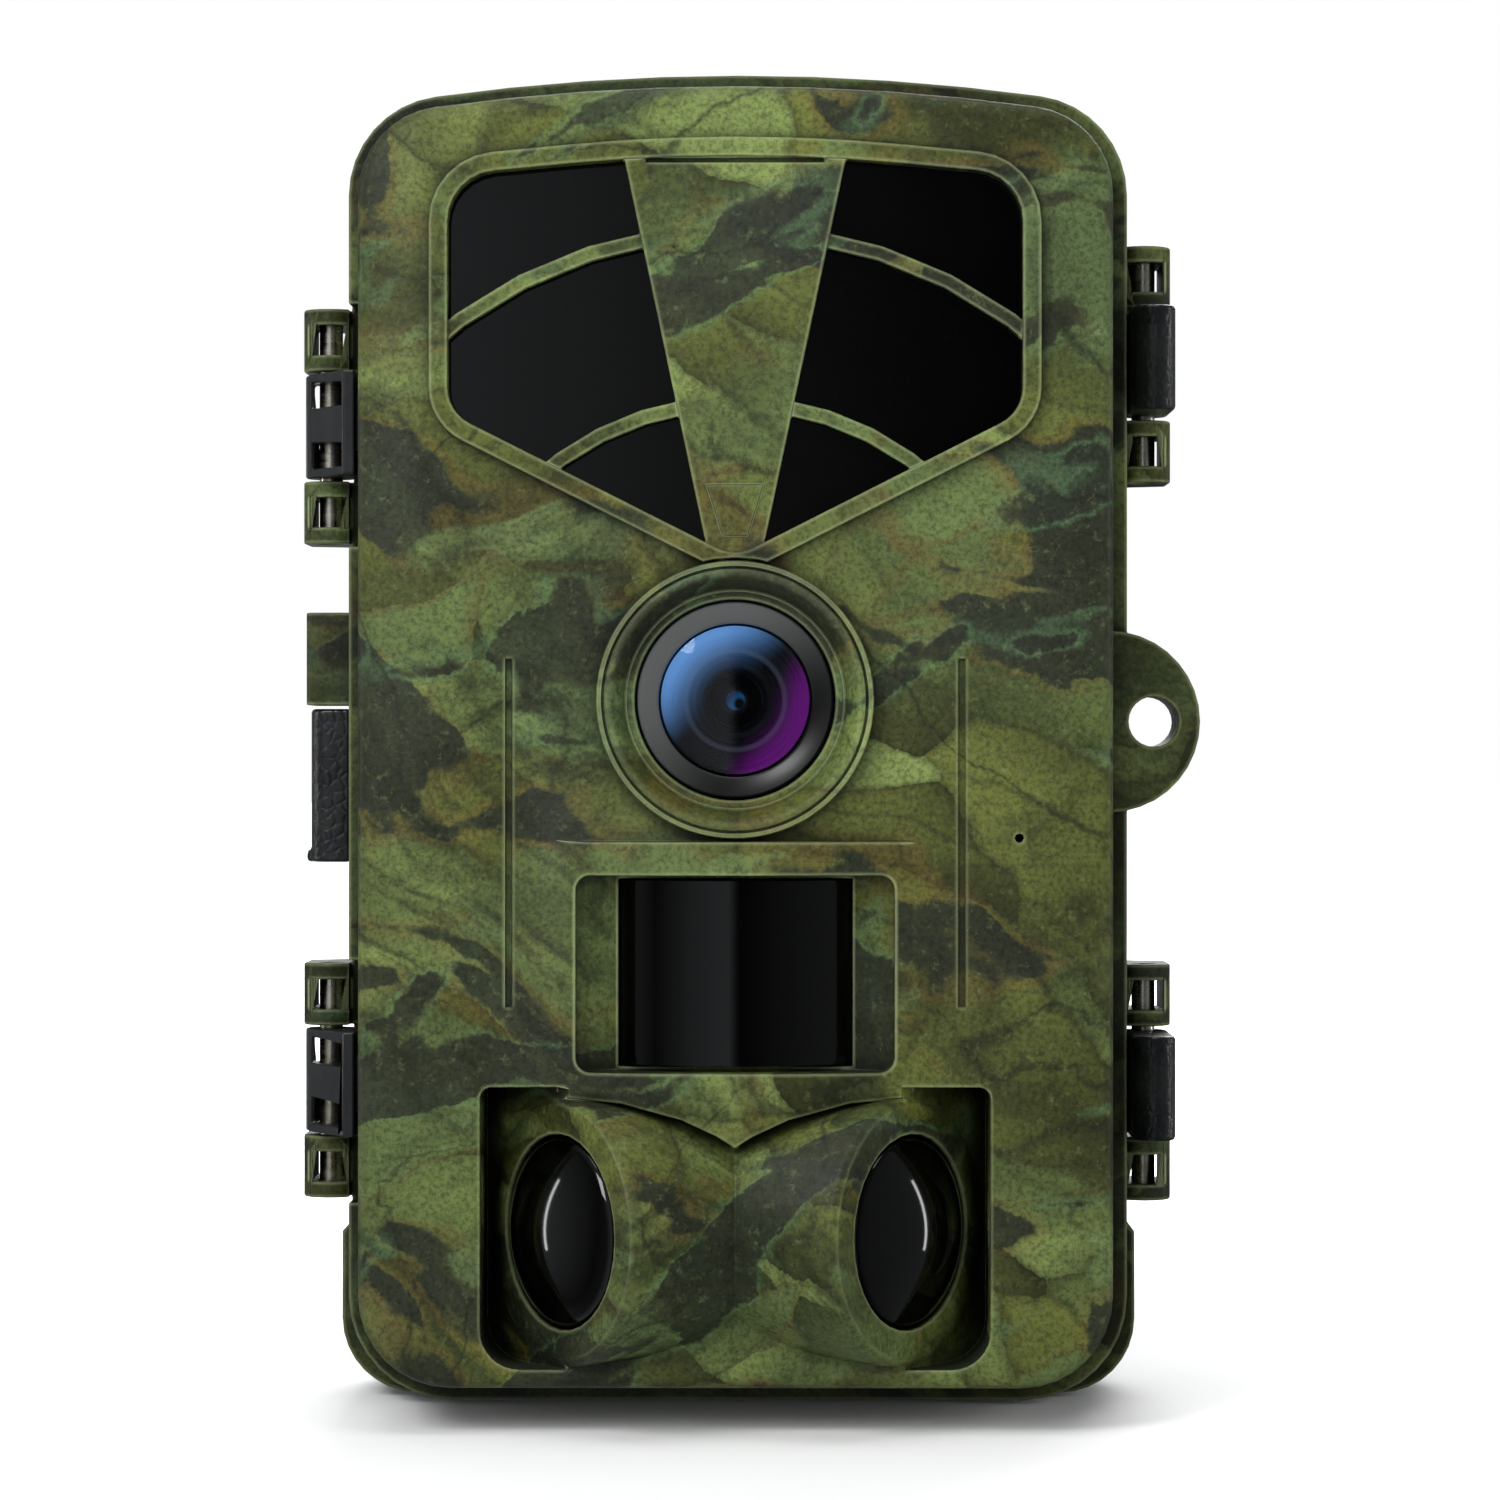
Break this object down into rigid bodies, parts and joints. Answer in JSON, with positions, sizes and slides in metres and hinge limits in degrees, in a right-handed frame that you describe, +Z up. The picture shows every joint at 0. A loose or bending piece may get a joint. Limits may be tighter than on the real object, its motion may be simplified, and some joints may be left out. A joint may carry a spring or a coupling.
{
  "type": "trail camera",
  "caption": "Camouflage trail camera in a hinged clamshell case with a shield-shaped infrared lamp window, a ringed lens, motion sensors facing ahead and sideways, latches and a padlock eye.",
  "frame": {"origin": "on the flat base of the rear shell, on the case's centre plane, 3.5 mm behind the plane where the two halves part", "axes": "+X to the right seen from the front, +Y to the back, +Z up; the lens looks along -Y"},
  "size_m": [0.0951, 0.0703, 0.1402],
  "materials": {
    "camo_plastic": "fine moulded texture with a printed leaf camouflage",
    "black_plastic": "satin moulded",
    "window_plastic": "polished, dark, passes infrared",
    "rubber": "soft satin",
    "steel": "bright",
    "brass": "turned",
    "circuit_board": "green lacquer",
    "lens_glass": "coated",
    "grey_plastic": "fine moulded texture",
    "cell_sleeve": "printed sleeve over a metal can"
  },
  "bodies": {
    "rear_case": {"rear_shell": "camo_plastic", "dc_jack": "black_plastic", "case_seal": "rubber", "battery_lead": "rubber", "hinge_pin_lower": "steel", "hinge_pin_upper": "steel", "latch_pin_lower": "steel", "latch_pin_upper": "steel", "tripod_insert": "brass", "contact_board_bottom": "circuit_board", "contact_board_middle": "circuit_board", "contact_board_top": "circuit_board", "battery_tray": "grey_plastic", "cell_1": "cell_sleeve", "cell_2": "cell_sleeve", "cell_3": "cell_sleeve", "cell_4": "cell_sleeve", "cell_5": "cell_sleeve", "cell_6": "cell_sleeve", "cell_7": "cell_sleeve", "cell_8": "cell_sleeve"},
    "front_case": {"front_shell": "camo_plastic", "window_bezel": "camo_plastic", "ir_window": "window_plastic", "led_board": "circuit_board", "lens_bezel": "camo_plastic", "lens_trim_ring": "black_plastic", "lens_cover": "lens_glass", "lens_barrel": "black_plastic", "front_lens_element": "lens_glass", "sensor_board": "circuit_board", "pir_lens_center": "window_plastic", "pir_lens_left": "window_plastic", "pir_lens_right": "window_plastic", "pir_sensor_center": "steel", "pir_sensor_left": "steel", "pir_sensor_right": "steel", "main_board": "circuit_board", "inner_cover": "grey_plastic", "display": "window_plastic", "card_socket": "steel", "cover_screw_1": "steel", "cover_screw_2": "steel", "cover_screw_3": "steel", "cover_screw_4": "steel", "hinge_knuckle_lower": "black_plastic", "hinge_knuckle_upper": "black_plastic"},
    "latch_lower": {"latch_lever_lower": "rubber"},
    "latch_upper": {"latch_lever_upper": "rubber"},
    "port_flap": {"port_cover": "rubber"},
    "filter": {"ir_cut_filter": "lens_glass"},
    "card": {"memory_card": "black_plastic"},
    "switch": {"power_switch_knob": "black_plastic"},
    "key_ok": {"button_ok": "rubber"},
    "key_up": {"button_up": "rubber"},
    "key_down": {"button_down": "rubber"},
    "key_left": {"button_left": "rubber"},
    "key_right": {"button_right": "rubber"},
    "key_menu": {"button_menu": "rubber"}
  },
  "joints": [
    {"name": "front_hinge", "type": "hinge", "parent": "rear_case", "child": "front_case", "pos_m": [-0.0434, -0.0035, 0.0684], "axis": [0, 0, -1], "range_deg": [0, 95], "deforming": ["battery_lead"]},
    {"name": "latch_lower_pivot", "type": "hinge", "parent": "rear_case", "child": "latch_lower", "pos_m": [0.0434, -0.0002, 0.0333], "axis": [0, 0, 1], "range_deg": [0, 100]},
    {"name": "latch_upper_pivot", "type": "hinge", "parent": "rear_case", "child": "latch_upper", "pos_m": [0.0434, -0.0002, 0.11], "axis": [0, 0, 1], "range_deg": [0, 100]},
    {"name": "port_flap_hinge", "type": "hinge", "parent": "rear_case", "child": "port_flap", "pos_m": [-0.04585, 0.0031, 0.0732], "axis": [0, 1, 0], "range_deg": [0, 100]},
    {"name": "filter_slide", "type": "slide", "parent": "front_case", "child": "filter", "axis": [1, 0, 0], "range_m": [0, 0.007]},
    {"name": "card_eject", "type": "slide", "parent": "front_case", "child": "card", "axis": [0, 0, -1], "range_m": [0, 0.005]},
    {"name": "power_switch", "type": "slide", "parent": "front_case", "child": "switch", "axis": [1, 0, 0], "range_m": [0, 0.005]},
    {"name": "press_ok", "type": "slide", "parent": "front_case", "child": "key_ok", "axis": [0, -1, 0], "range_m": [0, 0.0006], "stiffness_N_per_m": 800, "springref_m": -0.0008},
    {"name": "press_up", "type": "slide", "parent": "front_case", "child": "key_up", "axis": [0, -1, 0], "range_m": [0, 0.0006], "stiffness_N_per_m": 800, "springref_m": -0.0008},
    {"name": "press_down", "type": "slide", "parent": "front_case", "child": "key_down", "axis": [0, -1, 0], "range_m": [0, 0.0006], "stiffness_N_per_m": 800, "springref_m": -0.0008},
    {"name": "press_left", "type": "slide", "parent": "front_case", "child": "key_left", "axis": [0, -1, 0], "range_m": [0, 0.0006], "stiffness_N_per_m": 800, "springref_m": -0.0008},
    {"name": "press_right", "type": "slide", "parent": "front_case", "child": "key_right", "axis": [0, -1, 0], "range_m": [0, 0.0006], "stiffness_N_per_m": 800, "springref_m": -0.0008},
    {"name": "press_menu", "type": "slide", "parent": "front_case", "child": "key_menu", "axis": [0, -1, 0], "range_m": [0, 0.0006], "stiffness_N_per_m": 800, "springref_m": -0.0008}
  ]
}
